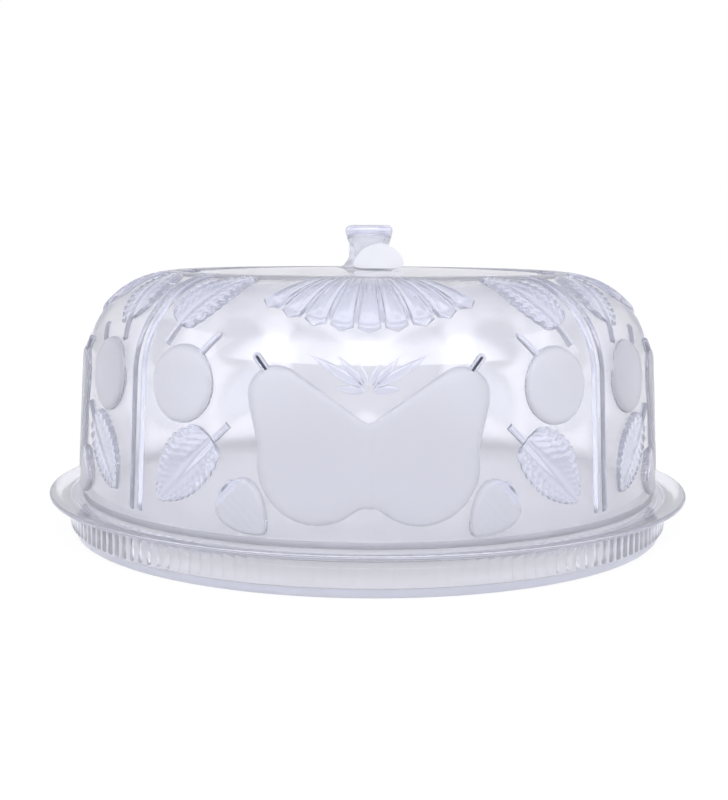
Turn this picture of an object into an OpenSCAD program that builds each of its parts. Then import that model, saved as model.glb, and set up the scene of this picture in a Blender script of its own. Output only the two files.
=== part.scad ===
// Covered cake plate in clear moulded plastic: a round plate on a fluted foot, a dome with
// raised fruit, leaves, ribs and fans, and a hollow knob bonded to the dome's crown.
// The origin is the centre of the foot ring, on the surface that the plate stands on.

/* [Plate] */
// How far the foot stands out past the dome's lower edge
foot_margin = 3; // [1.5:0.5:6]
// How far the lip stands out past the flutes
lip_overhang = 9.8; // [8:0.1:18]
// Height of the rim's top edge above the table
rim_h = 20.5; // [20:0.5:24]
// Thickness of the lip at its edge
lip_t = 2.2; // [1.6:0.1:3]
// Width of the lip, from its edge to the ledge
lip_w = 6; // [4:0.5:8]
// Outward slope of the plain band at the foot, in degrees from upright
band_slope = 16; // [8:1:20]
// Thickness of the foot's wall and of the plate
plate_wall = 2.4; // [1.8:0.1:3]
// Height of the ledge on which the dome stands
ledge_h = 19; // [17:0.5:19.5]
// Height of the raised centre above the ledge
centre_rise = 1.2; // [0.6:0.1:2]
// Gap between the raised centre and the inside of the dome
dome_clearance = 0.8; // [0.3:0.1:1.5]
// Height of the plain band under the flutes
band_h = 4.2; // [3:0.1:6]
// Number of flutes round the foot
flute_count = 168; // [120:4:180]
// Step from the plain band out to the hollows between the flutes
flute_step = 0.7; // [0.4:0.1:1]
// Height of each flute above the hollows between them
flute_relief = 0.8; // [0.4:0.1:1.2]

/* [Dome] */
// Outer diameter of the dome at its lower edge, which the plate follows
dome_d = 281; // [272:1:290]
// Height of the dome without its knob
dome_h = 107.3; // [100:0.1:125]
// Thickness of the dome's wall
dome_wall = 2.2; // [1.6:0.1:3]
// Inward slope of the dome's side, in degrees from upright
dome_slope = 3.2; // [1:0.1:5]
// Radius of the rounded shoulder
shoulder_r = 42; // [38:1:46]
// Rise of the crown from its edge to its centre
crown_rise = 2.8; // [1.5:0.1:5]
// Radius of the flat on the crown that carries the knob
knob_seat_r = 16; // [15:0.5:22]

/* [Ribs] */
// Number of panels, with a double rib between each two
panel_count = 4; // [4:1:4]
// Height of the ribs and of the crown's ring above the dome
rib_relief = 1.4; // [0.8:0.1:2]
// Width of one ridge of a double rib
rib_w = 3.2; // [2:0.1:4]
// Distance between the two ridges of a rib, centre to centre
rib_pitch = 6; // [5:0.1:9]
// Plain height under the ribs
rib_foot = 5; // [3:0.5:8]

/* [Fruit and leaves] */
// Height of the fruit above the dome
fruit_relief = 2; // [1:0.1:2.5]
// Height of the leaves above the dome
leaf_relief = 1.2; // [0.6:0.1:2]
// Radius of a pear at its belly
pear_r = 23.6; // [22:0.2:24]
// Radius of a pear at its neck
pear_neck_r = 12; // [10:0.2:13]
// Radius of a plum
plum_r = 16.2; // [14:0.2:17]
// Length of a strawberry
berry_len = 25; // [20:0.5:26]
// Width of a strawberry
berry_w = 22; // [17:0.5:22]
// Length of a leaf
leaf_len = 41; // [34:0.5:43]
// Width of a leaf
leaf_w = 24; // [18:0.5:26]
// Teeth on each side of a leaf
leaf_teeth = 6; // [5:1:8]
// Width of the stems
stem_w = 3; // [2:0.1:4]

/* [Fans] */
// Height of the petals above the dome
fan_relief = 1.2; // [0.8:0.1:2]
// Number of petals in a fan
petal_count = 9; // [5:2:11]
// Length of a petal from the fan's centre
petal_len = 57.5; // [52:0.5:59]
// Width of a petal near its end
petal_w = 8.4; // [6:0.1:9]
// Angle between two petals
petal_step = 11.5; // [9:0.1:12]

/* [Knob] */
// Height of the knob above the crown
knob_h = 21; // [18:0.5:28]
// Diameter of the knob's top
knob_top_d = 23.2; // [22:0.2:28]
// Diameter of the knob's neck
knob_neck_d = 19.4; // [17:0.2:21]
// Diameter of the knob's foot
knob_foot_d = 29.6; // [27:0.2:30]
// Thickness of the knob's wall
knob_wall = 2.2; // [1.6:0.1:3]
// Thickness of the knob's top
knob_cap = 4.2; // [3:0.1:6]

/* [Hidden] */
$fn = 96;
turned_fn = 180;
clear_tint = [0.86, 0.87, 0.93, 0.55];
edge_round = 0.8;
overrun = 10;
weld = 0.5;

// The dome's section, from its lower edge up
dome_r = dome_d / 2;
edge_z = ledge_h;
crown_edge_z = edge_z + dome_h - crown_rise;
crown_z = edge_z + dome_h;
shoulder_z = crown_edge_z - shoulder_r;
side_top_z = shoulder_z + shoulder_r * sin(dome_slope);
side_top_r = dome_r - (side_top_z - edge_z) * tan(dome_slope);
shoulder_x = side_top_r - shoulder_r * cos(dome_slope);
crown_arc_r = (shoulder_x * shoulder_x + crown_rise * crown_rise) / (2 * crown_rise);
ring_w = 2.2 * rib_w;
ring_lap = 1;
seat_depth = 0.2;

// The plate's section
under_step = 1;
under_lip_z = ledge_h - plate_wall - under_step;
under_centre_z = under_lip_z + centre_rise + under_step;
foot_r = dome_r + foot_margin;
band_r = foot_r + band_h * tan(band_slope);
flute_r = band_r + flute_step;
rim_r = flute_r + flute_relief + lip_overhang;
lip_root_r = flute_r + flute_relief + 0.6;
centre_r = dome_r - dome_wall - dome_clearance;
centre_edge_w = 0.6;

// Points on an arc round c, from angle a to angle b
function arc(c, r, a, b, n) = [for (i = [0:n]) let (t = a + (b - a) * i / n) c + r * [cos(t), sin(t)]];
// A list of points turned over to the other side of the middle line, in reverse order
function turned_over(p) = [for (i = [len(p) - 1:-1:0]) [-p[i].x, p[i].y]];

// Everything under the dome's outer surface, or under a surface that lies g outside it
module under_dome(g) {
    tip = [side_top_r + g * cos(dome_slope), side_top_z + g * sin(dome_slope)];
    polygon([[0, edge_z], [tip.x + (tip.y - edge_z) * tan(dome_slope), edge_z], tip, [0, tip.y]]);
    translate([0, edge_z]) square([shoulder_x, crown_edge_z - edge_z + g]);
    intersection() {
        translate([shoulder_x, shoulder_z]) circle(shoulder_r + g);
        translate([0, edge_z]) square([2 * dome_r, dome_h]);
    }
    intersection() {
        translate([0, crown_z - crown_arc_r]) circle(crown_arc_r + g, $fn = 1440);
        translate([0, shoulder_z]) square([shoulder_x, crown_z - shoulder_z + g]);
    }
}

// The space in which relief of height h stands, from the dome's edge up to the crown's ring
module relief_space(h) {
    rotate_extrude($fn = turned_fn) difference() {
        under_dome(h);
        translate([0, edge_z]) square([shoulder_x + ring_w / 2 - ring_lap, 2 * dome_h]);
    }
}

// A shape that is pushed out through the dome's side, at an angle round the dome
module through_side(angle) {
    rotate(angle) rotate([90, 0, 0]) translate([0, 0, shoulder_x])
        linear_extrude(dome_r - shoulder_x + overrun) children();
}

// A shape that is pushed out through the shoulder, in a direction that rises by tilt
module through_shoulder(angle, tilt) {
    rotate(angle) translate([0, -shoulder_x, shoulder_z]) rotate([90 - tilt, 0, 0])
        translate([0, 0, shoulder_r / 4]) linear_extrude(shoulder_r) children();
}

module each_panel() {
    for (i = [0:panel_count - 1]) rotate(i * 360 / panel_count) children();
}

module both_sides() {
    for (s = [0, 1]) mirror([s, 0, 0]) children();
}

// A pair of pears, side by side and leaning apart. Each outline runs round the belly, the neck and
// the shoulder where the two pears meet, over the angles given here
pear_belly = [21, edge_z + 32.5];
pear_belly_arc = [222, 376];
pear_neck = [36.5, edge_z + 60.3];
pear_neck_arc = [350, 496];
pear_shoulder = [11, edge_z + 40.5];
pear_shoulder_r = 13.5;
pear_shoulder_arc = [122, 142];
pear_cleft = 7;
pear_half = concat([[0, pear_belly.y - pear_r + pear_cleft]],
    arc(pear_belly, pear_r, pear_belly_arc[0], pear_belly_arc[1], 12),
    arc(pear_neck, pear_neck_r, pear_neck_arc[0], pear_neck_arc[1], 8),
    arc(pear_shoulder, pear_shoulder_r, pear_shoulder_arc[0], pear_shoulder_arc[1], 2));
pear_stem_at = pear_neck + [3.2, 9];
pear_stem_turn = -40;
pear_stem_len = 9.5;

module pears() {
    polygon(concat(pear_half, turned_over(pear_half)));
}

module pear_stem() {
    translate(pear_stem_at) rotate(pear_stem_turn) translate([-stem_w / 2, 0])
        square([stem_w, pear_stem_len]);
}

plum_angle = 34;
plum_z = edge_z + 62.5;
plum_stem_turn = 42;
plum_stem_len = 11;

module plum() {
    translate([0, plum_z]) circle(plum_r);
}

module plum_stem() {
    translate([0, plum_z]) rotate(plum_stem_turn) translate([-stem_w / 2, plum_r - weld])
        square([stem_w, plum_stem_len + weld]);
}

// A leaf with a toothed edge, from its stem at the origin to its tip along +X
leaf_stem_len = 9;
tooth_tip = 0.35;
tooth_root = 0.8;
function leaf_half_w(t) = leaf_w / 2 * pow(sin(180 * pow(t, 0.8)), 0.7);
leaf_side = [for (i = [1:leaf_teeth], k = [tooth_tip, 1])
    let (t = (i - 1 + k) / (leaf_teeth + 1)) [leaf_len * t, leaf_half_w(t) * (k < 1 ? 1 : tooth_root)]];
function flipped(p) = [for (i = [len(p) - 1:-1:0]) [p[i].x, -p[i].y]];

module leaf() {
    polygon(concat([[0, stem_w / 2]], leaf_side, [[leaf_len, 0]], flipped(leaf_side), [[0, -stem_w / 2]]));
    translate([-leaf_stem_len, -stem_w / 2]) square([leaf_stem_len + weld, stem_w]);
}

// A strawberry, from its hull at the origin to its tip along +X
function berry_half_w(t) = berry_w / 2 * pow(sin(180 * pow(t, 0.6)), 0.7);
berry_side = [for (t = [0.04, 0.12, 0.25, 0.4, 0.55, 0.7, 0.84, 0.95]) [berry_len * t, berry_half_w(t)]];

module berry() {
    polygon(concat([[0, 0]], berry_side, [[berry_len, 0]], flipped(berry_side)));
}

// Places round the dome from the middle of a panel, in degrees, with the height and the turn
low_leaf_angle = 27;
low_leaf_z = edge_z + 40.5;
low_leaf_turn = -41;
berry_angle = 24.5;
berry_z = edge_z + 21.8;
berry_turn = 223;
// The leaf on the shoulder is placed in a plane that faces the way it is pushed through
high_leaf_angle = 32;
high_leaf_tilt = 45;
high_leaf_at = [11, -8];
high_leaf_turn = 116;

module fruit() {
    through_side(0) pears();
    both_sides() {
        through_side(0) pear_stem();
        through_side(plum_angle) plum();
        through_side(plum_angle) plum_stem();
        through_side(berry_angle) translate([0, berry_z]) rotate(berry_turn) berry();
    }
}

module leaves() {
    both_sides() {
        through_side(low_leaf_angle) translate([0, low_leaf_z]) rotate(low_leaf_turn) leaf();
        through_shoulder(high_leaf_angle, high_leaf_tilt)
            translate(high_leaf_at) rotate(high_leaf_turn) leaf();
    }
}

// A fan of petals that hangs over the shoulder from the crown's ring
petal_root = 12;
petal_root_w = 2;
petal_end = 75;
fan_tilt = 55;
fan_centre_y = 41;

module petal() {
    polygon(concat([[petal_root, -petal_root_w / 2]],
        arc([petal_len - petal_w / 2, 0], petal_w / 2, -petal_end, petal_end, 3),
        [[petal_root, petal_root_w / 2]]));
}

module fan() {
    through_shoulder(0, fan_tilt) translate([0, fan_centre_y])
        for (i = [0:petal_count - 1]) rotate((i - (petal_count - 1) / 2) * petal_step - 90) petal();
}

module double_rib() {
    for (x = [-1, 1]) rotate(180 / panel_count)
        translate([x * rib_pitch / 2 - rib_w / 2, -dome_r - overrun, edge_z + rib_foot])
            cube([rib_w, dome_r + overrun - shoulder_x * 0.9, dome_h]);
}

// The outline of the fluted wall: round flutes side by side, with narrow hollows between
flute_outline = [for (i = [0:flute_count - 1], k = [0.05, 0.35, 0.65, 0.95])
    let (a = (i + k) * 360 / flute_count, r = flute_r + flute_relief * sin(180 * k)) r * [cos(a), sin(a)]];

module base_plate() {
    color(clear_tint) difference() {
        union() {
            rotate_extrude($fn = turned_fn) polygon([[0, 0], [foot_r, 0], [band_r, band_h], [0, band_h]]);
            translate([0, 0, band_h - weld])
                linear_extrude(under_lip_z - band_h + 2 * weld) polygon(flute_outline);
            rotate_extrude($fn = turned_fn) polygon(concat(
                [[0, under_lip_z], [lip_root_r, under_lip_z], [rim_r - edge_round, rim_h - lip_t]],
                arc([rim_r - lip_t / 2, rim_h - lip_t / 2], lip_t / 2, -50, 90, 5),
                [[rim_r - lip_w, ledge_h], [centre_r + centre_edge_w, ledge_h],
                 [centre_r, ledge_h + centre_rise], [0, ledge_h + centre_rise]]));
        }
        rotate_extrude($fn = turned_fn) polygon([[0, -1], [foot_r - plate_wall, -1],
            [foot_r - plate_wall, 0], [flute_r - plate_wall, band_h], [flute_r - plate_wall, under_lip_z],
            [centre_r - 1.5 * under_step, under_lip_z], [centre_r - 2 * under_step, under_centre_z],
            [0, under_centre_z]]);
    }
}

module dome_cover() {
    color(clear_tint) difference() {
        union() {
            rotate_extrude($fn = turned_fn) difference() {
                union() {
                    under_dome(0);
                    intersection() {
                        under_dome(rib_relief);
                        translate([shoulder_x - ring_w / 2, shoulder_z]) square([ring_w, 2 * shoulder_r]);
                    }
                }
                translate([0, crown_z - seat_depth]) square([knob_seat_r, overrun]);
            }
            intersection() {
                relief_space(fruit_relief);
                each_panel() fruit();
            }
            intersection() {
                relief_space(leaf_relief);
                each_panel() leaves();
            }
            intersection() {
                relief_space(fan_relief);
                each_panel() fan();
            }
            intersection() {
                relief_space(rib_relief);
                each_panel() double_rib();
            }
        }
        rotate_extrude($fn = turned_fn) under_dome(-dome_wall);
        translate([0, 0, edge_z - 1]) cylinder(r = dome_r - dome_wall, h = 1.01, $fn = turned_fn);
    }
}

// Half the knob's width at height h over its foot, or d inside that. It sweeps in from the foot to
// the neck, stays upright for a little, and swells to the top
knob_sweep_h = 6;
knob_swell_z = 7;
knob_swell_h = knob_h - knob_swell_z - 4;
knob_round = 2.6;
function knob_r(h, d) = knob_neck_d / 2 - d + (h < knob_sweep_h
    ? (knob_foot_d - knob_neck_d) / 2 * pow(1 - h / knob_sweep_h, 2)
    : (knob_top_d - knob_neck_d) / 4 * (1 - cos(180 * max(0, h - knob_swell_z) / knob_swell_h)));

module knob() {
    color(clear_tint) translate([0, 0, crown_z - seat_depth]) difference() {
        rotate_extrude($fn = turned_fn) polygon(concat([[0, 0]],
            [for (h = [0, 1, 2.2, 3.6, 5]) [knob_r(h, 0), h]],
            [for (h = [7:2:knob_h - 4]) [knob_r(h, 0), h]],
            arc([knob_top_d / 2 - knob_round, knob_h - knob_round], knob_round, 0, 90, 4),
            [[0, knob_h]]));
        rotate_extrude($fn = turned_fn) polygon(concat([[0, -1], [knob_r(0, knob_wall), -1]],
            [for (h = [0, 1, 2.2, 3.6, 5]) [knob_r(h, knob_wall), h]],
            [for (h = [7:2:knob_h - knob_cap]) [knob_r(h, knob_wall), h]],
            [[knob_neck_d / 2 - knob_wall, knob_h - knob_cap], [0, knob_h - knob_cap]]));
    }
}

base_plate();
dome_cover();
knob();
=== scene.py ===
import math

import bmesh
import bpy
import numpy as np
from mathutils import Matrix, Vector


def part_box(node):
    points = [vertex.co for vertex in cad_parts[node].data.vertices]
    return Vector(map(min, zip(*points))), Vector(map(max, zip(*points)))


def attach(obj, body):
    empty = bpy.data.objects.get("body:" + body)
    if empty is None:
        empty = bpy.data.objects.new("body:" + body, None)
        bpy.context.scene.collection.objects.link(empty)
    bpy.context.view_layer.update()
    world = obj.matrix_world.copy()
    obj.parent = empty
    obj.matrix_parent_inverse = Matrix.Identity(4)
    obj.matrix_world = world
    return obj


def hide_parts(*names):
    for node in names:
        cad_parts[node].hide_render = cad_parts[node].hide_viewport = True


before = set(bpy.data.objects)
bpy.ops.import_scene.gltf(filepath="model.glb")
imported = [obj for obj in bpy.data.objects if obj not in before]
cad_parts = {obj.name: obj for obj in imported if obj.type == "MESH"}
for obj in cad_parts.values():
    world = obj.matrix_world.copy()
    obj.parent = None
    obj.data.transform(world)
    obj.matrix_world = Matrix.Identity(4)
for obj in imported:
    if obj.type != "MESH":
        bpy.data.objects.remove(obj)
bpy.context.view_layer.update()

mm = 0.001  # shapes are drawn in millimetres and scaled down when they are done
scene = bpy.context.scene
scene.view_settings.view_transform = "Standard"


# camera
cameraSet = {
    "place": (-0.0020, -0.6240, 0.1414),
    "down": 7.41,  # degrees below level
    "roll": 0.34,
    "lens": 56.5,
    "sensor": 36,
}


def makeCamera(look):
    data = bpy.data.cameras.new("camera")
    data.lens = look["lens"]
    data.sensor_width = look["sensor"]
    camera = bpy.data.objects.new("camera", data)
    scene.collection.objects.link(camera)
    tilt = Matrix.Rotation(math.radians(90 - look["down"]), 4, "X")
    roll = Matrix.Rotation(math.radians(look["roll"]), 4, "Z")
    camera.matrix_world = Matrix.Translation(look["place"]) @ tilt @ roll
    scene.camera = camera


makeCamera(cameraSet)
print("camera is set")


# the dome's skin, which all the relief is laid on
_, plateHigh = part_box("base_plate")
domeLow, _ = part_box("dome_cover")
knobLow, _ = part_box("knob")

dome = {
    "edge": domeLow.z / mm + 0.02,  # height of the lower edge, a hair over the plate
    "crown": 126.3,  # height of the crown's middle
    "radius": 140.5,  # at the lower edge
    "wall": 2.2,
    "slope": math.radians(3.2),
    "shoulder": 42.0,  # radius of the shoulder's curve
    "rise": 2.8,  # of the crown over its edge
    "seat": 16.0,  # flat under the knob
    "seatDepth": 0.2,
    "ringWidth": 7.0,
    "ringHeight": 1.35,
    "ringRows": (0.0, 0.35, 0.62, 0.82, 0.93, 0.985, 1.0),  # from its middle to its edge
    "footRow": 2.4,  # height of the matt foot
    "columns": 216,
    "reach": 190.0,  # how far out from the axis the skin is looked for, and in how many halvings
    "halvings": 34,
}
shoulderZ = dome["crown"] - dome["rise"] - dome["shoulder"]
sideTopZ = shoulderZ + dome["shoulder"] * math.sin(dome["slope"])
sideTopR = dome["radius"] - (sideTopZ - dome["edge"]) * math.tan(dome["slope"])
shoulderX = sideTopR - dome["shoulder"] * math.cos(dome["slope"])
crownArc = (shoulderX ** 2 + dome["rise"] ** 2) / (2 * dome["rise"])


def heightOverDome(r, z):
    # distance outside the dome's skin, for arrays of radius and height
    side = (r - sideTopR) * math.cos(dome["slope"]) + (z - sideTopZ) * math.sin(dome["slope"])
    shoulder = np.hypot(r - shoulderX, z - shoulderZ) - dome["shoulder"]
    crown = np.hypot(r, z - dome["crown"] + crownArc) - crownArc
    lean = np.arctan2(z - shoulderZ, r - shoulderX)
    inner = np.where(z > shoulderZ, crown, side)
    return np.where(r < shoulderX, inner, np.where(lean < dome["slope"], side, shoulder))


def layOnDome(bm, angle, tilt=None):
    # a shape drawn flat, with z as its height over the skin, is laid on the dome. With no tilt it is
    # pushed straight on to the side, and otherwise on to the shoulder along a direction that rises
    points = np.array([v.co for v in bm.verts])
    rise = math.radians(tilt or 0)
    out = np.array([0.0, -math.cos(rise), math.sin(rise)])
    up = np.array([0.0, math.sin(rise), math.cos(rise)])
    start = np.outer(points[:, 0], (1, 0, 0)) + np.outer(points[:, 1], up)
    if tilt is not None:
        start = start + np.array([0.0, -shoulderX, shoulderZ])
    near, far = np.zeros(len(points)), np.full(len(points), dome["reach"])
    for _ in range(dome["halvings"]):
        middle = (near + far) / 2
        p = start + middle[:, None] * out
        inside = heightOverDome(np.hypot(p[:, 0], p[:, 1]), p[:, 2]) < points[:, 2]
        near, far = np.where(inside, middle, near), np.where(inside, far, middle)
    p = start + near[:, None] * out
    turn = math.radians(angle)
    x = p[:, 0] * math.cos(turn) - p[:, 1] * math.sin(turn)
    y = p[:, 0] * math.sin(turn) + p[:, 1] * math.cos(turn)
    for v, place in zip(bm.verts, np.stack((x, y, p[:, 2]), 1).tolist()):
        v.co = place


def spinSection(points, columns):
    bm = bmesh.new()
    verts = [bm.verts.new((r, 0, z)) for r, z in points]
    edges = [bm.edges.new(pair) for pair in zip(verts, verts[1:])]
    bmesh.ops.spin(bm, geom=verts + edges, cent=(0, 0, 0), axis=(0, 0, 1), dvec=(0, 0, 0),
                   angle=math.tau, steps=columns, use_merge=True)
    bmesh.ops.remove_doubles(bm, verts=bm.verts, dist=1e-4)
    bmesh.ops.recalc_face_normals(bm, faces=bm.faces)
    return bm


def arcRow(middle, radius, start, end, count):
    angles = [math.radians(start + (end - start) * i / count) for i in range(count + 1)]
    return [(middle[0] + radius * math.cos(a), middle[1] + radius * math.sin(a)) for a in angles]


def skinRow(gap, sideRows, arcRows, crownRows):
    # the section of the skin moved in by gap, from the lower edge up to the axis
    slope = math.degrees(dome["slope"])
    small = dome["shoulder"] - gap
    topR, topZ = shoulderX + small * math.cos(dome["slope"]), shoulderZ + small * math.sin(dome["slope"])
    footR = topR + (topZ - dome["edge"]) * math.tan(dome["slope"])
    side = [(footR + (topR - footR) * i / sideRows, dome["edge"] + (topZ - dome["edge"]) * i / sideRows)
            for i in range(sideRows)]
    arc = arcRow((shoulderX, shoulderZ), small, slope, 90, arcRows)
    crown = []
    for i in range(1, crownRows + 1):
        r = shoulderX * (1 - i / crownRows)
        crown.append((r, dome["crown"] - crownArc + math.sqrt((crownArc - gap) ** 2 - r * r)))
    return side + arc + crown


# relief that is drawn flat and laid on the dome
relief = {
    "sunk": 0.9,  # how far a motif's underside goes into the wall
    "fruit": 2.0,
    "fruitRound": 3.0,  # width of the rounded edge of a fruit
    "leaf": 1.25,
    "fan": 1.2,
    "rib": 1.4,
    "least": 0.1,  # height of a motif at its edge
}


def outlineDistance(points, outline):
    # how far each point lies from a closed outline
    best = np.full(len(points), 1e9)
    for a, b in zip(outline, np.roll(outline, -1, axis=0)):
        along = b - a
        t = np.clip(((points - a) @ along) / max(along @ along, 1e-12), 0, 1)
        best = np.minimum(best, np.hypot(*(points - a - t[:, None] * along).T))
    return best


def roundedEdge(distance, width):
    t = np.clip(distance / width, 0, 1)
    return np.sqrt(1 - (1 - t) ** 2)


def evenOutline(points, count, passes):
    # a closed outline with its points spread evenly and its corners eased
    p = np.array(points, float)
    closed = np.vstack((p, p[:1]))
    length = np.concatenate(([0], np.cumsum(np.hypot(*np.diff(closed, axis=0).T))))
    s = np.linspace(0, length[-1], count, endpoint=False)
    p = np.stack((np.interp(s, length, closed[:, 0]), np.interp(s, length, closed[:, 1])), 1)
    for _ in range(passes):
        p = (np.roll(p, 1, axis=0) + 2 * p + np.roll(p, -1, axis=0)) / 4
    return p


def closePad(bm, heights):
    # gives a flat patch its top and, sunk below the skin, its underside
    bm.verts.index_update()
    for v in bm.verts:
        v.co.z = heights[v.index]
    below = bmesh.ops.extrude_face_region(bm, geom=list(bm.faces), use_keep_orig=True)["geom"]
    for v in below:
        if isinstance(v, bmesh.types.BMVert):
            v.co.z = -relief["sunk"]
    bmesh.ops.recalc_face_normals(bm, faces=bm.faces)
    return bm


def roundPatch(outline, middle, rings):
    # a patch of rings that shrink from its outline to its middle
    bm = bmesh.new()
    ring = bmesh.ops.create_circle(bm, segments=len(outline), radius=1)["verts"]
    for v, (x, y) in zip(ring, outline):
        v.co = (x, y, 0)
    edges = list(bm.edges)
    centre = Vector((middle[0], middle[1], 0))
    done = 1.0
    for size in rings:
        grown = bmesh.ops.extrude_edge_only(bm, edges=edges)["geom"]
        verts = [g for g in grown if isinstance(g, bmesh.types.BMVert)]
        edges = [g for g in grown if isinstance(g, bmesh.types.BMEdge)]
        for v in verts:
            v.co = centre + (v.co - centre) * (size / done)
        done = size
    bmesh.ops.contextual_create(bm, geom=edges)
    bmesh.ops.poke(bm, faces=[f for f in bm.faces if len(f.verts) > 4])
    return bm


def stripPatch(length, halfWidth, along, across, start=0.0):
    # a long patch from its root at the origin to its tip along +X
    bm = bmesh.new()
    bmesh.ops.create_grid(bm, x_segments=along, y_segments=across, size=1)
    for v in bm.verts:
        t, side = (v.co.x + 1) / 2, v.co.y
        v.co = (start + (length - start) * t, side * halfWidth(t, side), 0)
    return bm


def patchPoints(bm):
    return np.array([v.co[:2] for v in bm.verts])


pear = {
    "belly": (21.0, 51.5), "bellyR": 23.6,
    "neck": (36.5, 79.3), "neckR": 12.0,
    "shoulder": (11.0, 59.5), "shoulderR": 13.5,
    "cleft": 34.9,  # height of the cleft between the two pears, below
}


def pearOutline():
    half = [(0, pear["cleft"])]
    half += arcRow(pear["belly"], pear["bellyR"], 222, 374, 40)
    half += arcRow(pear["neck"], pear["neckR"], 348, 494, 28)
    half += arcRow(pear["shoulder"], pear["shoulderR"], 122, 140, 5)
    half = half + [(-x, y) for x, y in reversed(half[1:])]
    return evenOutline(half, 150, 2)


def pearPad():
    outline = pearOutline()
    bm = roundPatch(outline, (0, 54), (0.992, 0.978, 0.958, 0.93, 0.88, 0.8, 0.64, 0.42, 0.2))
    points = patchPoints(bm)
    edge = outlineDistance(points, outline)
    cleft = np.exp(-(points[:, 0] / 2.6) ** 2) * 0.35  # a soft valley where the two pears meet
    tall = relief["fruit"] * (0.86 + 0.14 * roundedEdge(edge, 12))
    return closePad(bm, tall * roundedEdge(edge, relief["fruitRound"]) - cleft * roundedEdge(edge, 3))


pearStem = {"place": (39.2, 87.0), "turn": 53.0, "length": 10.5, "width": 3.6, "tall": 1.9}
slit = {"width": 0.8, "from": 1.4, "to": 9.2, "slope": 1.8, "depth": 0.9}  # along the pears' stems

plum = {"angle": 34.0, "z": 81.5, "r": 16.2}
plumStem = {"place": (-9.0, 94.6), "turn": 130, "length": 11.0, "width": 3.4, "tall": 1.3, "start": -1.0}


def plumPad():
    outline = np.array(arcRow((0, plum["z"]), plum["r"], 0, 360, 80)[:-1])
    bm = roundPatch(outline, (0, plum["z"]), (0.985, 0.965, 0.935, 0.89, 0.8, 0.62, 0.4, 0.2))
    edge = outlineDistance(patchPoints(bm), outline)
    tall = relief["fruit"] * (0.84 + 0.16 * roundedEdge(edge, 12))
    return closePad(bm, tall * roundedEdge(edge, relief["fruitRound"]))


berry = {
    "angle": 24.5,
    "place": (0.0, 40.8),
    "turn": 223.0,
    "length": 25.0,
    "width": 22.0,
    "round": 1.7,  # width of the rounded edge
    "seedPitch": 3.2,
    "seedDeep": 0.3,
}
calyx = {"place": (0.6, 41.2), "turns": (-60, -20, 20, 60), "length": 6.5, "width": 4.4, "tall": 1.0}


def berryHalf(t):
    return berry["width"] / 2 * math.sin(math.pi * t ** 0.6) ** 0.7 if 0 < t < 1 else 0.0


def berryPad():
    def half(t, side):
        return max(berryHalf(0.012 + 0.976 * t), 0.3)  # blunt at both ends

    bm = stripPatch(berry["length"], half, 28, 22)
    points = patchPoints(bm)
    x, y = points[:, 0], points[:, 1]
    w = np.array([half(t, 1) for t in np.clip(x / berry["length"], 0, 1)])
    edge = np.minimum(np.maximum(w - np.abs(y), 0), np.minimum(x, berry["length"] - x) * 1.3)
    pitch = berry["seedPitch"]
    row = np.cos(math.pi * x / pitch) * np.cos(math.pi * y / pitch)
    seeds = berry["seedDeep"] * np.clip((np.abs(row) - 0.8) / 0.2, 0, 1) * np.clip((edge - 1.8) / 1.5, 0, 1)
    tall = relief["fruit"] * (0.8 + 0.2 * roundedEdge(edge, 8))
    return closePad(bm, np.maximum(tall * roundedEdge(edge, berry["round"]) - seeds, relief["least"]))


leaf = {
    "length": 39.5,
    "broad": 15.5,  # width of the broad half, and of the narrow one
    "narrow": 10.5,
    "widest": 0.42,
    "baseCut": 0.45,
    "teeth": 10,
    "slant": 0.55,
    "beadTall": 0.9,
    "veinTall": 0.5,
    "ribTall": 0.5,
    "round": 1.1,
}
lowLeaf = {"angle": 27, "place": (0, 59.5), "turn": -44, "stemPlace": (-7.0, 66.3)}
highLeaf = {"angle": 32, "tilt": 45, "place": (11, -8), "turn": 117, "stemPlace": (15.2, -16.2)}
leafStem = {"length": 10, "width": 3.0, "tall": 1.5}


def leafHalf(t, side):
    w = leaf["broad"] if side > 0 else leaf["narrow"]
    if t < leaf["widest"]:
        return w * (1 - leaf["baseCut"] * (1 - t / leaf["widest"]) ** 2.2)
    return w * max(1 - ((t - leaf["widest"]) / (1 - leaf["widest"])) ** 2, 0.0) ** 0.8


def toothWave(x, y):
    # 0 at the notches between the teeth and 1 in the middle of each, along slanted lines
    pitch = leaf["length"] / (leaf["teeth"] + 0.5)
    return np.abs(np.sin(math.pi * (x - leaf["slant"] * np.abs(y)) / pitch))


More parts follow.
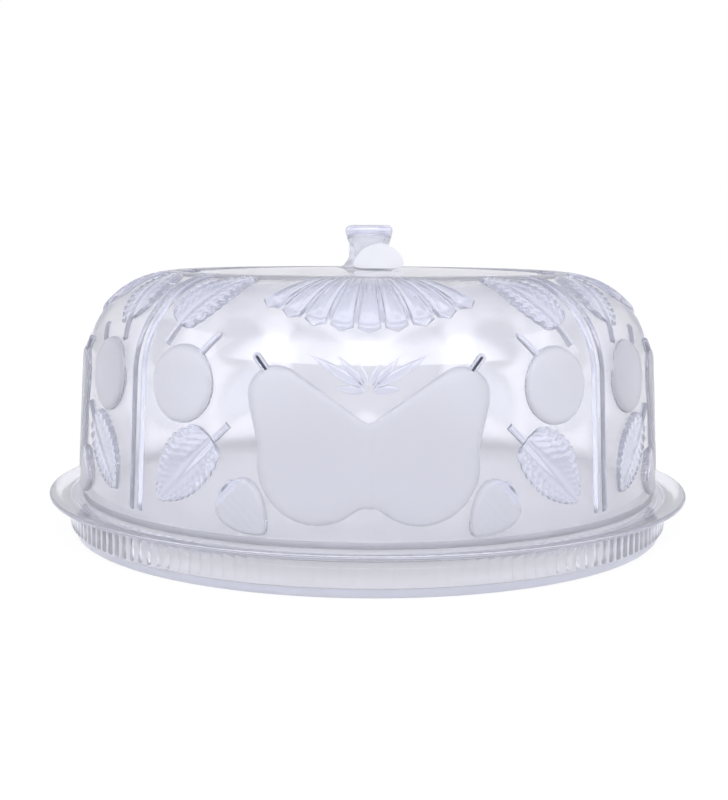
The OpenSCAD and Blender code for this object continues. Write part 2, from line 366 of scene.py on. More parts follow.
def leafPad():
    # drawn with its broad half on the left of its midrib
    def half(t, side):
        w = leafHalf(t, side)
        bite = 1.0 - toothWave(t * leaf["length"], w) ** 0.6
        start = min(t / 0.06, 1.0)
        return max(w * (1 - 0.1 * bite) * (0.35 + 0.65 * math.sqrt(1 - (1 - start) ** 2)), 0.25)

    bm = stripPatch(leaf["length"], half, 58, 22)
    points = patchPoints(bm)
    x, y = points[:, 0], points[:, 1]
    t = np.clip(x / leaf["length"], 0, 1)
    w = np.array([half(a, 1 if b >= 0 else -1) for a, b in zip(t, y)])
    toEdge = np.maximum(w - np.abs(y), 0)
    outward = np.clip(np.abs(y) / np.maximum(w, 0.5), 0, 1)
    wave = toothWave(x, y)
    broad = y >= 0
    bead = np.exp(-((outward - 0.85) / 0.09) ** 2) * wave ** 1.5
    vein = np.exp(-((outward - 0.5) / 0.2) ** 2) * (1 - toothWave(x, 2.2 * y) ** 0.5)
    dash = np.exp(-((outward - 0.45) / 0.1) ** 2) * (1 - wave ** 0.5)
    dash = dash + np.exp(-((outward - 0.72) / 0.1) ** 2) * wave ** 2
    body = roundedEdge(np.minimum(toEdge, (leaf["length"] - x) * 1.5), leaf["round"])
    midrib = leaf["ribTall"] * np.exp(-y ** 2) * (1 - 0.7 * t)
    raised = np.where(broad, leaf["beadTall"] * bead + leaf["veinTall"] * vein, leaf["beadTall"] * dash)
    return closePad(bm, np.maximum(body * (relief["leaf"] * 0.7 + raised + midrib), relief["least"]))


def barPad(length, width, tall, start=0.0, slit=None):
    # a rounded bar for the stems, with a slit along it where it has one
    r = width / 2

    def half(t, side):
        end = (1 - t) * (length - start)
        return r * math.sqrt(max(1 - (1 - min(end / r, 1)) ** 2, 0.004))

    bm = stripPatch(length, half, 20 if slit else 12, 16 if slit else 8, start)
    points = patchPoints(bm)
    x, y = points[:, 0], points[:, 1]
    edge = np.minimum(np.maximum(r - np.abs(y), 0), np.maximum(length - x, 0))
    h = tall * roundedEdge(edge, r)
    if slit:
        within = (x > slit["from"]) * (x < slit["to"])
        h = h * (1 - slit["depth"] * np.clip(slit["slope"] - np.abs(y) / (slit["width"] / 2), 0, 1) * within)
    return closePad(bm, np.maximum(h, relief["least"]))


fan = {
    "tilt": 55.0,
    "y": 41.0,  # of the middle that the petals point away from
    "petals": 9,
    "step": 11.5,  # degrees from petal to petal
    "root": 12.0,
    "length": 57.5,
    "width": 10.2,
    "ridge": {"short": 4.0, "width": 2.4, "tall": 1.0},  # between two petals, shorter than they are
}


def petalPad(length, width, tall, root):
    def half(t, side):
        x = root + (length - root) * t
        r = width / 2
        grow = 1.0 + (r - 1.0) * (x - root) / (length - root)
        end = min((length - x) / (r * 0.75), 1.0)
        return max(grow * (1 - (1 - end) ** 2.6) ** (1 / 2.6), 0.25)

    bm = stripPatch(length, half, 20, 10, root)
    points = patchPoints(bm)
    x, y = points[:, 0], points[:, 1]
    w = np.array([half((p - root) / (length - root), 1) for p in x])
    side = np.clip(np.abs(y) / np.maximum(w, 0.3), 0, 1)
    toEdge = np.minimum(np.maximum(w - np.abs(y), 0), (length - x) * 1.2)
    pane = np.clip((side - 0.5) / 0.12, 0, 1)  # a sunk pane between raised edges
    pane = np.maximum(pane, np.clip((x - length + 5.5) / 1.2, 0, 1))
    depth = 0.6 + 0.4 * pane * pane * (3 - 2 * pane)
    return closePad(bm, np.maximum(tall * depth * roundedEdge(toEdge, 1.0), 0.12))


def bladePad(length, width, tall):
    # a small pointed leaf with a crease along its middle
    def half(t, side):
        return max(width / 2 * math.sin(math.pi * min(t, 1) ** 0.75) ** 0.9, 0.12)

    bm = stripPatch(length, half, 12, 6)
    points = patchPoints(bm)
    x, y = points[:, 0], points[:, 1]
    w = np.array([half(t, 1) for t in np.clip(x / length, 0, 1)])
    edge = np.maximum(w - np.abs(y), 0)
    crease = 0.25 * np.exp(-(y / 0.4) ** 2)
    return closePad(bm, np.maximum(tall * (roundedEdge(edge, 0.9) - crease), relief["least"]))


sprig = {
    "z": 81.5,
    "tall": 0.42,
    # turn, length, width and distance from the root of each blade on one side
    "blades": ((31, 25.0, 4.0, 2.2), (48, 16.0, 3.0, 2.6), (4, 11.5, 3.4, 1.6), (70, 10.0, 2.6, 2.2)),
}


rib = {"pitch": 6.0, "width": 3.2, "foot": 5.0, "inner": 96.5}


def ribPad(side):
    # one ridge of a double rib, drawn flat and bent up the side and over the shoulder
    lowest = dome["edge"] + rib["foot"]
    section = [p for p in skinRow(0, 40, 40, 60) if p[1] > lowest and p[0] > rib["inner"]]
    r, z = np.array(section).T
    length = np.concatenate(([0], np.cumsum(np.hypot(np.diff(r), np.diff(z)))))
    alongR, alongZ = np.gradient(r, length), np.gradient(z, length)
    bm = bmesh.new()
    bmesh.ops.create_grid(bm, x_segments=60, y_segments=6, size=1)
    for v in bm.verts:
        v.co.x = (v.co.x + 1) / 2 * length[-1]
    points = patchPoints(bm)
    start = roundedEdge(points[:, 0] + 0.1, 2.0)
    section = np.clip(1 - points[:, 1] ** 2, 0, 1) ** 0.8
    bm = closePad(bm, np.maximum(relief["rib"] * start * section, -relief["least"]))
    for v in bm.verts:
        s, across, h = v.co
        x = side * rib["pitch"] / 2 + across * rib["width"] / 2
        outR = np.interp(s, length, r) + np.interp(s, length, alongZ) * h
        outZ = np.interp(s, length, z) - np.interp(s, length, alongR) * h
        v.co = (x, -math.sqrt(outR * outR - x * x), outZ)
    return bm


def turned(bm, angle):
    turn = Matrix.Rotation(math.radians(angle), 3, "Z")
    bmesh.ops.rotate(bm, verts=bm.verts, cent=(0, 0, 0), matrix=turn)
    return bm


def fourPanels(pads):
    # the motifs of one panel, joined and repeated round the dome
    joined = bmesh.new()
    for bm in pads:
        mesh = bpy.data.meshes.new("pad")
        bm.to_mesh(mesh)
        bm.free()
        joined.from_mesh(mesh)
        bpy.data.meshes.remove(mesh)
    one = list(joined.verts) + list(joined.edges) + list(joined.faces)
    bmesh.ops.spin(joined, geom=one, cent=(0, 0, 0), axis=(0, 0, 1), dvec=(0, 0, 0),
                   angle=math.radians(270), steps=3, use_duplicate=True)
    return joined


def mirrored(bm, across="X"):
    sides = (-1, 1, 1, 1) if across == "X" else (1, -1, 1, 1)
    bmesh.ops.transform(bm, matrix=Matrix.Diagonal(sides), verts=bm.verts)
    bmesh.ops.reverse_faces(bm, faces=bm.faces)
    return bm


def toObject(bm, name, scale=mm):
    bmesh.ops.scale(bm, vec=(scale, scale, scale), verts=bm.verts)
    bmesh.ops.recalc_face_normals(bm, faces=bm.faces)
    mesh = bpy.data.meshes.new(name)
    bm.to_mesh(mesh)
    bm.free()
    piece = bpy.data.objects.new(name, mesh)
    scene.collection.objects.link(piece)
    return piece


def placed(bm, place, turn, angle, tilt=None):
    matrix = Matrix.Translation((place[0], place[1], 0)) @ Matrix.Rotation(math.radians(turn), 4, "Z")
    bmesh.ops.transform(bm, matrix=matrix, verts=bm.verts)
    layOnDome(bm, angle, tilt)
    return bm


def bothSides(make):
    return [make(), mirrored(make())]


def stemBar(stem, slit=None):
    return barPad(stem["length"], stem["width"], stem["tall"], stem.get("start", 0.0), slit)


def panelPads():
    # the motifs of one panel, in layers whose shapes don't touch each other
    low, high = lowLeaf, highLeaf
    first = [placed(pearPad(), (0, 0), 0, 0)]
    first += bothSides(lambda: placed(plumPad(), (0, 0), 0, plum["angle"]))
    first += bothSides(lambda: placed(berryPad(), berry["place"], berry["turn"], berry["angle"]))
    first += bothSides(lambda: placed(leafPad(), low["place"], low["turn"], low["angle"]))
    first += bothSides(lambda: placed(mirrored(leafPad(), "Y"), high["place"], high["turn"], high["angle"],
                                      high["tilt"]))
    second = bothSides(lambda: placed(stemBar(pearStem, slit), pearStem["place"], pearStem["turn"], 0))
    second += bothSides(lambda: placed(stemBar(plumStem), plumStem["place"], plumStem["turn"], plum["angle"]))
    second += bothSides(lambda: placed(stemBar(leafStem), low["stemPlace"], low["turn"], low["angle"]))
    second += bothSides(lambda: placed(stemBar(leafStem), high["stemPlace"], high["turn"], high["angle"],
                                       high["tilt"]))
    for turn in calyx["turns"]:
        second += bothSides(lambda: placed(bladePad(calyx["length"], calyx["width"], calyx["tall"]),
                                           calyx["place"], berry["turn"] + turn, berry["angle"]))
    for turn, long, wide, away in sprig["blades"]:
        start = (away * math.cos(math.radians(turn)), sprig["z"] + away * math.sin(math.radians(turn)))
        second += bothSides(lambda: placed(bladePad(long, wide, sprig["tall"]), start, turn, 0))
    half = (fan["petals"] - 1) / 2
    turns = [(i - half) * fan["step"] - 90 for i in range(fan["petals"])]
    middle, tilt, ridge = (0, fan["y"]), fan["tilt"], fan["ridge"]
    third = [placed(petalPad(fan["length"], fan["width"], relief["fan"], fan["root"]), middle, t, 0, tilt)
             for t in turns]
    fourth = [placed(barPad(fan["length"] - ridge["short"], ridge["width"], ridge["tall"], fan["root"]),
                     middle, t + fan["step"] / 2, 0, tilt) for t in turns[:-1]]
    return first, second, third, fourth


def uniteWith(piece, tool):
    union = piece.modifiers.new("union", "BOOLEAN")
    union.operation = "UNION"
    union.solver = "MANIFOLD"
    union.object = tool
    bpy.context.view_layer.update()
    made = bpy.data.meshes.new_from_object(piece.evaluated_get(bpy.context.evaluated_depsgraph_get()))
    piece.modifiers.clear()
    old, piece.data = piece.data, made
    bpy.data.meshes.remove(old)
    bpy.data.objects.remove(tool)


def makeDome():
    outer = skinRow(0, 5, 24, 14)
    # the raised ring round the crown, and the flat seat of the knob
    ringed = []
    ringHalf = dome["ringWidth"] / 2
    for r, z in outer:
        if abs(r - shoulderX) < ringHalf + 0.8 and z > shoulderZ:
            continue
        if r > dome["seat"] or z < shoulderZ:
            ringed.append((r, z))
    ring = []
    rows = dome["ringRows"]
    for t in tuple(reversed(rows)) + tuple(-t for t in rows[1:]):
        r = shoulderX + t * ringHalf
        base = shoulderZ + math.sqrt(dome["shoulder"] ** 2 - (r - shoulderX) ** 2) if r > shoulderX else \
            dome["crown"] - crownArc + math.sqrt(crownArc ** 2 - r * r)
        ring.append((r, base + dome["ringHeight"] * max(1 - abs(t) ** 2.6, 0) ** 0.5))
    spot = max(i for i, p in enumerate(ringed) if p[0] > shoulderX)
    seatZ = dome["crown"] - dome["seatDepth"]
    seatEdge = dome["crown"] - crownArc + math.sqrt(crownArc ** 2 - dome["seat"] ** 2)
    section = ringed[:spot + 1] + ring + ringed[spot + 1:] + [(dome["seat"], seatEdge)]
    section += [(dome["seat"] - 0.25, seatZ), (dome["seat"] * 0.5, seatZ), (0, seatZ)]
    footR, footZ = section[0]
    lean = 0.11  # of the wall over the height of the matt foot
    section = [(footR - 0.5, footZ), (footR - 0.12, footZ + 0.12), (footR, footZ + 0.5),
               (footR - lean, footZ + dome["footRow"])] + section[1:]
    inner = skinRow(dome["wall"], 3, 12, 5)
    footR = inner[0][0]
    inner = [(footR + 0.35, footZ), (footR, footZ + 0.35),
             (footR - lean, footZ + dome["footRow"])] + inner[1:]
    inner[-1] = (0, inner[-1][1])
    bm = spinSection(list(reversed(section)) + inner, dome["columns"])
    piece = toObject(bm, "domeCover")
    layers = [[], [], [], []]
    for layer, pads in zip(layers, panelPads()):
        layer += pads
    layers[0] += [turned(ribPad(side), 45) for side in (-1, 1)]
    for i, layer in enumerate(layers):
        tool = toObject(fourPanels(layer), f"relief{i}")
        print("relief layer", i, "has", len(tool.data.polygons), "faces")
        uniteWith(piece, tool)
        print("dome has", len(piece.data.polygons), "faces")
    return piece


def insideOutline(points, outline):
    x, y = points.T
    inside = np.zeros(len(points), bool)
    for (ax, ay), (bx, by) in zip(outline, np.roll(outline, -1, axis=0)):
        crosses = (ay > y) != (by > y)
        inside ^= crosses & (x < ax + (y - ay) * (bx - ax) / (by - ay + 1e-12))
    return inside


# materials 1, 3 and 4 carry painted shade in their darker colours
faceMaterials = {"clear": 0, "mattShade": 1, "inside": 2, "slit": 3, "relief": 4}


def faceKinds(piece):
    # the material of each of the dome's faces, from where its middle lies
    mesh = piece.data
    centre = np.empty(len(mesh.polygons) * 3)
    mesh.polygons.foreach_get("center", centre)
    centre = centre.reshape(-1, 3) / mm
    r, z = np.hypot(centre[:, 0], centre[:, 1]), centre[:, 2]
    height = heightOverDome(r, z)
    quarter = math.pi / 2
    azimuth = np.arctan2(centre[:, 0], -centre[:, 1])
    azimuth = azimuth - np.round(azimuth / quarter) * quarter  # from the middle of the nearest panel

    def onPlane(angle):
        a = np.abs(azimuth) - math.radians(angle) if angle else azimuth
        return np.stack((r * np.sin(a), z), 1)

    def alongAndAcross(points, place, turn):
        p = points - place
        c, d = math.cos(math.radians(turn)), math.sin(math.radians(turn))
        return p[:, 0] * c + p[:, 1] * d, p[:, 1] * c - p[:, 0] * d

    mattShade = insideOutline(onPlane(0), pearOutline())
    p = onPlane(plum["angle"])
    mattShade |= np.hypot(p[:, 0], p[:, 1] - plum["z"]) < plum["r"]
    along, across = alongAndAcross(onPlane(berry["angle"]), berry["place"], berry["turn"])
    mattShade |= (along > 3.5) & (along < berry["length"]) & (np.abs(across) < berry["width"] / 2 + 0.5)
    # faces raised over the skin take the relief material, whose darker colour is painted shade
    kind = np.where(height > 0.14, faceMaterials["relief"], faceMaterials["clear"])
    kind[mattShade & (height > 0.6)] = faceMaterials["mattShade"]
    kind[height < 0.03 - dome["wall"]] = faceMaterials["inside"]
    # the foot row and the crown's ring take the frosted material too, with its painted shade
    kind[(z < dome["edge"] + dome["footRow"]) & (height < 0.5)] = faceMaterials["mattShade"]
    onRing = (np.abs(r - shoulderX) < dome["ringWidth"] / 2) & (z > shoulderZ)
    kind[onRing & (height > 0.02)] = faceMaterials["mattShade"]
    oneHalf = np.abs(onPlane(0) * (1, 0)) + onPlane(0) * (0, 1)
    along, across = alongAndAcross(oneHalf, pearStem["place"], pearStem["turn"])
    within = (along > slit["from"] + 1.3) & (along < slit["to"] - 0.2)
    shadeInSlit = within & (np.abs(across) < slit["width"] * 0.62)
    # painted shade: faces inside the stems' slits take the near-black slit material
    kind[shadeInSlit & (height > 0.05)] = faceMaterials["slit"]
    return kind


def easeShading(piece, angle=50):
    # smooth shading with sharp creases
    piece.data.shade_smooth()
    piece.data.set_sharp_from_angle(angle=math.radians(angle))


def trueSkin(piece):
    # on the dome's plain skin the shading takes the true direction of its surface
    mesh = piece.data
    co = np.empty(len(mesh.vertices) * 3)
    mesh.vertices.foreach_get("co", co)
    co = co.reshape(-1, 3) / mm
    r, z = np.hypot(co[:, 0], co[:, 1]), co[:, 2]
    height = heightOverDome(r, z)
    step = 0.01
    outR = (heightOverDome(r + step, z) - heightOverDome(r - step, z)) / (2 * step)
    outZ = (heightOverDome(r, z + step) - heightOverDome(r, z - step)) / (2 * step)
    size = np.hypot(outR, outZ)
    near = np.maximum(r, 1e-6)
    flat = np.stack((co[:, 0] / near * outR, co[:, 1] / near * outR, outZ), 1) / size[:, None]
    corner = np.empty(len(mesh.loops) * 3)
    mesh.corner_normals.foreach_get("vector", corner)
    corner = corner.reshape(-1, 3)
    vertexOf = np.empty(len(mesh.loops), int)
    mesh.loops.foreach_get("vertex_index", vertexOf)
    count = np.empty(len(mesh.polygons), int)
    mesh.polygons.foreach_get("loop_total", count)
    faceOf = np.repeat(np.arange(len(count)), count)
    away = np.abs(r - shoulderX) > dome["ringWidth"] / 2 + 0.3  # the crown's ring keeps its own shading
    away &= (z > dome["edge"] + 1) & (r > dome["seat"] + 0.5)
    for level, sign in ((0.0, 1), (-dome["wall"], -1)):
        onSkin = (np.abs(height - level) < 0.03) & away
        whole = np.ones(len(count), bool)
        np.logical_and.at(whole, faceOf, onSkin[vertexOf])
        use = whole[faceOf]
        corner[use] = sign * flat[vertexOf[use]]
    mesh.normals_split_custom_set(corner.tolist())


domeCover = makeDome()
faceKind = faceKinds(domeCover)
easeShading(domeCover)
trueSkin(domeCover)
domeCover.data.calc_loop_triangles()
print("dome is moulded, with", len(domeCover.data.loop_triangles), "triangles")


# base plate
plate = {
    "ledge": domeLow.z / mm,
    "rim": plateHigh.z / mm,
    "rimR": plateHigh.x / mm,
    "foot": 143.5,
    "wall": 2.4,
    "band": 4.2,  # height of the plain band at the foot
    "bandR": 144.7,
    "flutes": 168,
    "fluteR": 145.4,  # at the hollows between the flutes
    "fluteTall": 0.8,
    "fluteRows": (0.0, 0.3, 0.8, 1.6, 3.0, 5.0, 7.0, 9.0, 10.2, 10.8, 11.2),
    "floorRise": 1.2,  # of the floor inside the dome over the ledge
    "underLip": 15.6,
    "lip": 1.1,  # half the thickness of the lip
    "columnsPerFlute": 6,
}


def makePlate():
    p = plate
    centreR = dome["radius"] - dome["wall"] - 0.8
    raised = p["ledge"] + p["floorRise"]
    section = [(0, raised), (centreR * 0.5, raised), (centreR - 0.3, raised), (centreR, raised - 0.1),
               (centreR + 0.5, p["ledge"] + 0.1), (centreR + 0.8, p["ledge"])]
    section += [(p["rimR"] - 6.4, p["ledge"]), (p["rimR"] - 5.6, p["ledge"] + 0.12)]
    section += arcRow((p["rimR"] - p["lip"], p["rim"] - p["lip"]), p["lip"], 100, -55, 9)
    section += [(p["rimR"] - 3.5, p["rim"] - 3.0), (p["rimR"] - 7.0, p["underLip"] + 0.75),
                (p["fluteR"] + 1.9, p["underLip"] + 0.25), (p["fluteR"] + 1.5, p["underLip"] - 0.1)]
    rows = p["fluteRows"]
    wallFrom, wallTo = p["band"] + 0.05, p["underLip"] - 0.15
    section += [(p["fluteR"], wallTo - (wallTo - wallFrom) * row / rows[-1]) for row in rows]
    section += [(p["bandR"], p["band"] - 0.1), (p["bandR"] - 0.35, p["band"] - 1.4),
                (p["foot"] + 0.25, 0.6), (p["foot"], 0.25), (p["foot"] - 0.3, 0.0)]
    inside, under = p["fluteR"] - p["wall"], p["underLip"] + 2.2
    section += [(p["foot"] - p["wall"] + 0.3, 0.0), (p["foot"] - p["wall"], 0.3), (inside, p["band"]),
                (inside, p["underLip"] - 0.5), (inside - 0.5, p["underLip"]), (centreR - 1.5, p["underLip"]),
                (centreR - 2, under), (centreR * 0.5, under), (0, under)]
    bm = spinSection(section, p["flutes"] * p["columnsPerFlute"])
    for v in bm.verts:
        r = math.hypot(v.co.x, v.co.y)
        if abs(r - p["fluteR"]) < 0.02 and wallFrom - 0.01 < v.co.z < wallTo + 0.01:
            k = math.atan2(v.co.y, v.co.x) / math.tau * p["flutes"] % 1
            ends = min((v.co.z - wallFrom) / 0.9, 1.0)
            fade = math.sqrt(max(1 - (1 - ends) ** 2, 0))
            grown = p["fluteTall"] * math.sin(math.pi * k) ** 0.7 * fade
            v.co.x *= (r + grown) / r
            v.co.y *= (r + grown) / r
    piece = toObject(bm, "basePlate")
    easeShading(piece)
    return piece


basePlate = makePlate()
print("plate is turned")


# knob
knob = {
    "foot": knobLow.z / mm + 0.02,  # a hair over its seat on the crown
    "height": 20.98,
    # height and radius of its waist
    "outside": ((0.0, 14.7), (0.5, 14.3), (1.2, 13.1), (2.2, 11.9), (3.2, 11.05), (4.2, 10.4), (5.2, 9.95),
                (6.4, 9.78), (7.6, 9.7), (9.2, 9.72), (11.2, 9.95), (13.1, 10.4), (15.1, 11.05),
                (16.6, 11.45), (17.6, 11.58)),
    "topR": 11.6,
    "round": 2.6,
    "wall": 2.2,
    "cap": 4.2,  # thickness of the top
    "columns": 120,
}


def makeKnob():
    top = arcRow((knob["topR"] - knob["round"], knob["height"] - knob["round"]), knob["round"], 8, 90, 8)
    outside = list(knob["outside"]) + top + [(knob["topR"] * 0.4, knob["height"]), (0, knob["height"])]
    under = knob["height"] - knob["cap"]
    inside = [(r - knob["wall"], h) for h, r in knob["outside"] if h < under - 1.5]
    inside += [(inside[-1][0] - 0.2, under - 0.9), (inside[-1][0] - 1.1, under), (0, under)]
    outside = [(r, h) for h, r in knob["outside"]] + outside[len(knob["outside"]):]
    section = [(r, knob["foot"] + h) for r, h in list(reversed(outside)) + inside]
    piece = toObject(spinSection(section, knob["columns"]), "knobTop")
    easeShading(piece)
    return piece


knobTop = makeKnob()
print("knob is turned")


# paper label
label = {
    "r": 11.9,
    "thick": 0.12,
    "low": (4.0, -32.8, 126.75),  # its lower edge, on the crown
    "lean": 61.0,  # degrees back from upright, against the knob's neck
    "turn": -3.0,
    "curl": 0.055,
    "segments": 64,
    "rings": (0.05, 0.175, 0.25),  # widths of its rings of faces, as shares of its radius
}


def makeLabel():
    def widest(faces):
        return [max(faces, key=lambda f: len(f.verts))]

    bm = bmesh.new()
    bmesh.ops.create_circle(bm, cap_ends=True, segments=label["segments"], radius=label["r"])
    for share in label["rings"]:
        bmesh.ops.inset_region(bm, faces=widest(bm.faces), thickness=label["r"] * share)
    bmesh.ops.poke(bm, faces=widest(bm.faces))
    for v in bm.verts:
        v.co.z = -label["curl"] * v.co.x ** 2 / 2  # wraps a little round the knob
    bmesh.ops.solidify(bm, geom=list(bm.faces), thickness=label["thick"])
    aside = Matrix.Rotation(math.radians(label["turn"]), 4, "Z")
    turn = aside @ Matrix.Rotation(math.radians(90 - label["lean"]), 4, "X")
    place = Vector(label["low"]) + turn @ Vector((0, label["r"], 0))
    bmesh.ops.transform(bm, matrix=Matrix.Translation(place) @ turn, verts=bm.verts)
    piece = toObject(bm, "paperLabel")
    easeShading(piece, 40)
    return piece


paperLabel = makeLabel()
print("label is placed")


# materials
def newMaterial(name):
    material = bpy.data.materials.new(name)
    material.use_nodes = True
    nodes = material.node_tree.nodes
    return material, nodes, material.node_tree.links, nodes["Principled BSDF"]


def addNode(nodes, kind, **inputs):
    node = nodes.new(kind)
    for key, value in inputs.items():
        node.inputs[key].default_value = value
    return node


plastic = {
    "ior": 1.49,
    "tint": (0.5, 0.52, 0.8, 1),  # what is left of light deep in the plastic
    "grain": {"clear": (26.0, 0.05, 0.0006), "frosted": (2600.0, 0.25, 0.00006)},  # scale, strength, depth
    "patches": 42.0,
    "patchSpread": 0.25,  # share by which the roughness varies from place to place
}
clearColour = (0.945, 0.948, 0.966, 1)
# haze is the share of light that scatters instead of passing through, and density sets how fast the
# tint builds up with depth
looks = {
    "clear moulded dome": {"rough": 0.035, "haze": 0.09},
    "dome inside": {"rough": 0.16, "haze": 0.09},
    # the frosted finish is real; its darker grey colour is painted shade, which also lies on the dome's foot
    # and on the crown's ring
    "frosted fruit with painted shade": {"rough": 0.4, "haze": 0.3, "colour": (0.665, 0.67, 0.705, 1), "surface": "frosted"},
    # the relief's darker lavender colour is painted shade, standing in for the shade that the raised motifs
    # show
    "moulded relief with painted shade": {"rough": 0.08, "haze": 0.2, "colour": (0.77, 0.79, 0.89, 1)},
    "clear moulded plate": {"rough": 0.07, "haze": 0.18, "density": 20.0},
    "plate floor": {"rough": 0.14, "haze": 0.93, "colour": (0.96, 0.96, 0.97, 1), "density": 20.0},
    # the band's darker lavender colour is painted shade, standing in for the shadow under the plate's foot
    "plate band with painted shade": {"rough": 0.07, "haze": 0.18, "colour": (0.84, 0.855, 0.93, 1), "density": 20.0},
    "clear knob": {"rough": 0.035, "haze": 0.25, "density": 30.0},
}


def clearPlastic(name):
    look = looks[name]
    rough = look["rough"]
    material, nodes, links, shader = newMaterial(name)
    shader.inputs["Base Color"].default_value = look.get("colour", clearColour)
    shader.inputs["Metallic"].default_value = 0
    shader.inputs["Transmission Weight"].default_value = 1 - look["haze"]
    shader.inputs["IOR"].default_value = plastic["ior"]
    place = nodes.new("ShaderNodeTexCoord")
    patches = addNode(nodes, "ShaderNodeTexNoise", Scale=plastic["patches"], Detail=2.0, Roughness=0.5)
    links.new(place.outputs["Object"], patches.inputs["Vector"])
    spread = addNode(nodes, "ShaderNodeMapRange")
    spread.inputs["To Min"].default_value = rough * (1 - plastic["patchSpread"])
    spread.inputs["To Max"].default_value = rough * (1 + plastic["patchSpread"])
    links.new(patches.outputs["Fac"], spread.inputs["Value"])
    links.new(spread.outputs["Result"], shader.inputs["Roughness"])
    scale, strength, depth = plastic["grain"][look.get("surface", "clear")]
    grain = addNode(nodes, "ShaderNodeTexNoise", Scale=scale, Detail=2.0, Roughness=0.55)
    links.new(place.outputs["Object"], grain.inputs["Vector"])
    bump = addNode(nodes, "ShaderNodeBump", Strength=strength, Distance=depth)
    links.new(grain.outputs["Fac"], bump.inputs["Height"])
    links.new(bump.outputs["Normal"], shader.inputs["Normal"])
    if "density" in look:
        deep = addNode(nodes, "ShaderNodeVolumeAbsorption", Color=plastic["tint"], Density=look["density"])
        links.new(deep.outputs["Volume"], nodes["Material Output"].inputs["Volume"])
    return material


def slitShadeMaterial():
    # painted shade: the faces in the deep slits along the pears' stems are painted near-black, standing in
    # for the shade inside the slits
    material, *_, shader = newMaterial("painted slit shade")
    shader.inputs["Base Color"].default_value = (0.05, 0.05, 0.09, 1)
    shader.inputs["Roughness"].default_value = 0.5
    return material


def paperMaterial():
    material, nodes, links, shader = newMaterial("label paper")
    place = nodes.new("ShaderNodeTexCoord")
    fibres = addNode(nodes, "ShaderNodeTexNoise", Scale=900.0, Detail=3.0, Roughness=0.6)
    links.new(place.outputs["Object"], fibres.inputs["Vector"])
    ramp = nodes.new("ShaderNodeValToRGB")
    ramp.color_ramp.elements[0].color = (0.5, 0.51, 0.52, 1)
    ramp.color_ramp.elements[1].color = (0.57, 0.575, 0.585, 1)
    links.new(fibres.outputs["Fac"], ramp.inputs["Fac"])
    links.new(ramp.outputs["Color"], shader.inputs["Base Color"])
    bump = addNode(nodes, "ShaderNodeBump", Strength=0.2, Distance=0.00005)
    links.new(fibres.outputs["Fac"], bump.inputs["Height"])
    links.new(bump.outputs["Normal"], shader.inputs["Normal"])
    shader.inputs["Roughness"].default_value = 0.7
    return material


domeCover.data.materials.clear()
# in the order of faceMaterials
for name in ("clear moulded dome", "frosted fruit with painted shade", "dome inside"):
    domeCover.data.materials.append(clearPlastic(name))
domeCover.data.materials.append(slitShadeMaterial())
domeCover.data.materials.append(clearPlastic("moulded relief with painted shade"))
domeCover.data.polygons.foreach_set("material_index", faceKind)
for name in ("clear moulded plate", "plate band with painted shade", "plate floor"):
    basePlate.data.materials.append(clearPlastic(name))
for face in basePlate.data.polygons:
    # painted shade: faces of the low band at the plate's foot take the darker band material
    if face.center.z < plate["band"] * mm:
        face.material_index = 1
    elif face.normal.z > 0.5 and face.center.xy.length < dome["radius"] * mm:
        face.material_index = 2
knobTop.data.materials.append(clearPlastic("clear knob"))
paperLabel.data.materials.append(paperMaterial())

for piece, node, slotName in ((domeCover, "dome_cover", "clear_dome"),
                              (basePlate, "base_plate", "clear_plate"), (knobTop, "knob", "clear_knob")):
    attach(piece, "root")
    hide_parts(node)
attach(paperLabel, "root")
print("materials are on")


# floor, world and lamps
studio = {
    "floorSize": 6.0,
    "glow": 0.9,  # share of the floor's white that shows without lamps
    "seenGlow": 0.4,  # and where it shows through the plastic
    "box": 5.0,  # brightness of the broad softbox in front, over the white
    "boxLow": 0.36,  # heights of its edges
    "boxHigh": 0.88,
    "boxSide": 1.1,  # its reach to each side, in radians
    "horizon": (0.83, 0.83, 0.87),  # low behind the set, which the crown mirrors
    "low": (1.0, 1.0, 1.0),
    "high": (0.8, 0.8, 0.86),  # overhead
    "flag": (0.72, 0.72, 0.8),  # the flags round the set
}


def linked(nodes, links, kind, operation, *values):
    node = nodes.new(kind)
    node.operation = operation
    for socket, value in zip(node.inputs, values):
        if hasattr(value, "links"):
            links.new(value, socket)
        else:
            socket.default_value = value
    return node.outputs[0]


def makeFloor():
    bm = bmesh.new()
    bmesh.ops.create_grid(bm, x_segments=1, y_segments=1, size=studio["floorSize"])
    floor = toObject(bm, "floor", 1.0)
    material = bpy.data.materials.new("white floor")
    material.use_nodes = True
    nodes, links = material.node_tree.nodes, material.node_tree.links
    nodes.clear()
    path = nodes.new("ShaderNodeLightPath")
    through = linked(nodes, links, "ShaderNodeMath", "MAXIMUM", path.outputs["Is Transmission Ray"],
                     path.outputs["Is Glossy Ray"])
    shader = addNode(nodes, "ShaderNodeBsdfDiffuse", Color=(0.8, 0.8, 0.8, 1)).outputs[0]
    for mask, glow in ((through, studio["seenGlow"]), (path.outputs["Is Camera Ray"], studio["glow"])):
        soft = addNode(nodes, "ShaderNodeBsdfDiffuse", Color=(1 - glow,) * 3 + (1,))
        lit = addNode(nodes, "ShaderNodeEmission", Color=(1, 1, 1, 1), Strength=glow)
        both = nodes.new("ShaderNodeAddShader")
        links.new(soft.outputs[0], both.inputs[0])
        links.new(lit.outputs[0], both.inputs[1])
        pick = nodes.new("ShaderNodeMixShader")
        links.new(mask, pick.inputs[0])
        links.new(shader, pick.inputs[1])
        links.new(both.outputs[0], pick.inputs[2])
        shader = pick.outputs[0]
    out = nodes.new("ShaderNodeOutputMaterial")
    links.new(shader, out.inputs["Surface"])
    floor.data.materials.append(material)


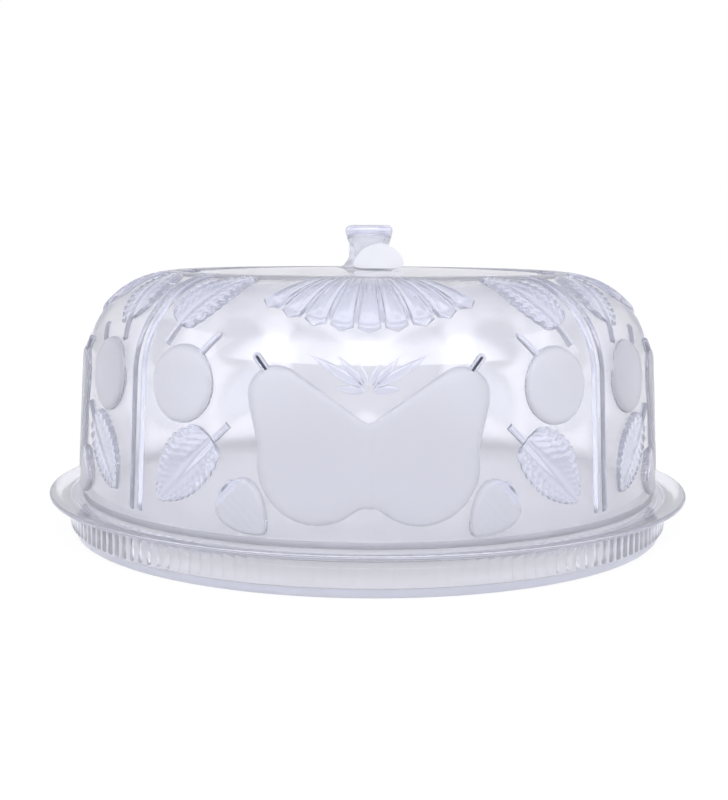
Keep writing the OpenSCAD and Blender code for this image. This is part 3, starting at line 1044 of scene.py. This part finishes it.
def softStep(nodes, links, value, start, end):
    node = nodes.new("ShaderNodeMapRange")
    node.interpolation_type = "SMOOTHSTEP"
    node.inputs["From Min"].default_value = start
    node.inputs["From Max"].default_value = end
    links.new(value, node.inputs["Value"])
    return node.outputs["Result"]


def makeWorld():
    world = bpy.data.worlds.new("studio")
    scene.world = world
    world.use_nodes = True
    nodes, links = world.node_tree.nodes, world.node_tree.links
    nodes.clear()
    place = nodes.new("ShaderNodeTexCoord")
    axes = nodes.new("ShaderNodeSeparateXYZ")
    links.new(place.outputs["Generated"], axes.inputs[0])
    overhead = nodes.new("ShaderNodeValToRGB")  # white round the set, greyer overhead
    overhead.color_ramp.elements[0].position = 0.2
    overhead.color_ramp.elements[0].color = studio["low"] + (1,)
    overhead.color_ramp.elements[1].position = 0.62
    overhead.color_ramp.elements[1].color = studio["high"] + (1,)
    overhead.color_ramp.elements.new(0.1).color = studio["horizon"] + (1,)
    links.new(axes.outputs["Z"], overhead.inputs["Fac"])
    back = linked(nodes, links, "ShaderNodeMath", "MULTIPLY", axes.outputs["Y"], -1.0)
    bearing = linked(nodes, links, "ShaderNodeMath", "ARCTAN2", axes.outputs["X"], back)
    turns = linked(nodes, links, "ShaderNodeMath", "MULTIPLY", bearing, 8.0)
    wave = linked(nodes, links, "ShaderNodeMath", "COSINE", turns)
    half = linked(nodes, links, "ShaderNodeMath", "MULTIPLY_ADD", wave, 0.5, 0.5)
    flags = nodes.new("ShaderNodeValToRGB")  # eight flags round the set
    flags.color_ramp.elements[0].position = 0.0
    flags.color_ramp.elements[0].color = studio["flag"] + (1,)
    flags.color_ramp.elements[1].position = 0.45
    flags.color_ramp.elements[1].color = (1, 1, 1, 1)
    links.new(half, flags.inputs["Fac"])
    dim = nodes.new("ShaderNodeMix")
    dim.data_type = "RGBA"
    dim.blend_type = "MULTIPLY"
    dim.inputs["Factor"].default_value = 1
    links.new(overhead.outputs["Color"], dim.inputs["A"])
    links.new(flags.outputs["Color"], dim.inputs["B"])
    aside = linked(nodes, links, "ShaderNodeMath", "ABSOLUTE", bearing)
    low = softStep(nodes, links, axes.outputs["Z"], studio["boxLow"], studio["boxLow"] + 0.02)
    high = softStep(nodes, links, axes.outputs["Z"], studio["boxHigh"], studio["boxHigh"] - 0.25)
    side = softStep(nodes, links, aside, studio["boxSide"], studio["boxSide"] - 0.25)
    box = linked(nodes, links, "ShaderNodeMath", "MULTIPLY", low, high)
    box = linked(nodes, links, "ShaderNodeMath", "MULTIPLY", box, side)
    power = linked(nodes, links, "ShaderNodeMath", "MULTIPLY_ADD", box, studio["box"], 1.0)
    around = nodes.new("ShaderNodeBackground")
    links.new(dim.outputs["Result"], around.inputs["Color"])
    links.new(power, around.inputs["Strength"])
    white = addNode(nodes, "ShaderNodeBackground", Color=(1, 1, 1, 1), Strength=1.0)
    path = nodes.new("ShaderNodeLightPath")
    pick = nodes.new("ShaderNodeMixShader")
    links.new(path.outputs["Is Camera Ray"], pick.inputs[0])
    links.new(around.outputs[0], pick.inputs[1])
    links.new(white.outputs[0], pick.inputs[2])
    out = nodes.new("ShaderNodeOutputWorld")
    links.new(pick.outputs[0], out.inputs["Surface"])


def makeLamp(name, place, target, size, power):
    data = bpy.data.lights.new(name, "AREA")
    data.shape = "RECTANGLE"
    data.size, data.size_y = size
    data.energy = power
    lamp = bpy.data.objects.new(name, data)
    scene.collection.objects.link(lamp)
    away = Vector(target) - Vector(place)
    lamp.matrix_world = Matrix.Translation(place) @ away.to_track_quat("-Z", "Y").to_matrix().to_4x4()


makeFloor()
makeWorld()
makeLamp("left fill", (-1.5, -0.4, 0.9), (0, 0, 0.06), (0.7, 0.7), 2.0)
makeLamp("right fill", (1.5, -0.3, 0.9), (0, 0, 0.06), (0.7, 0.7), 2.0)
print("studio is lit")
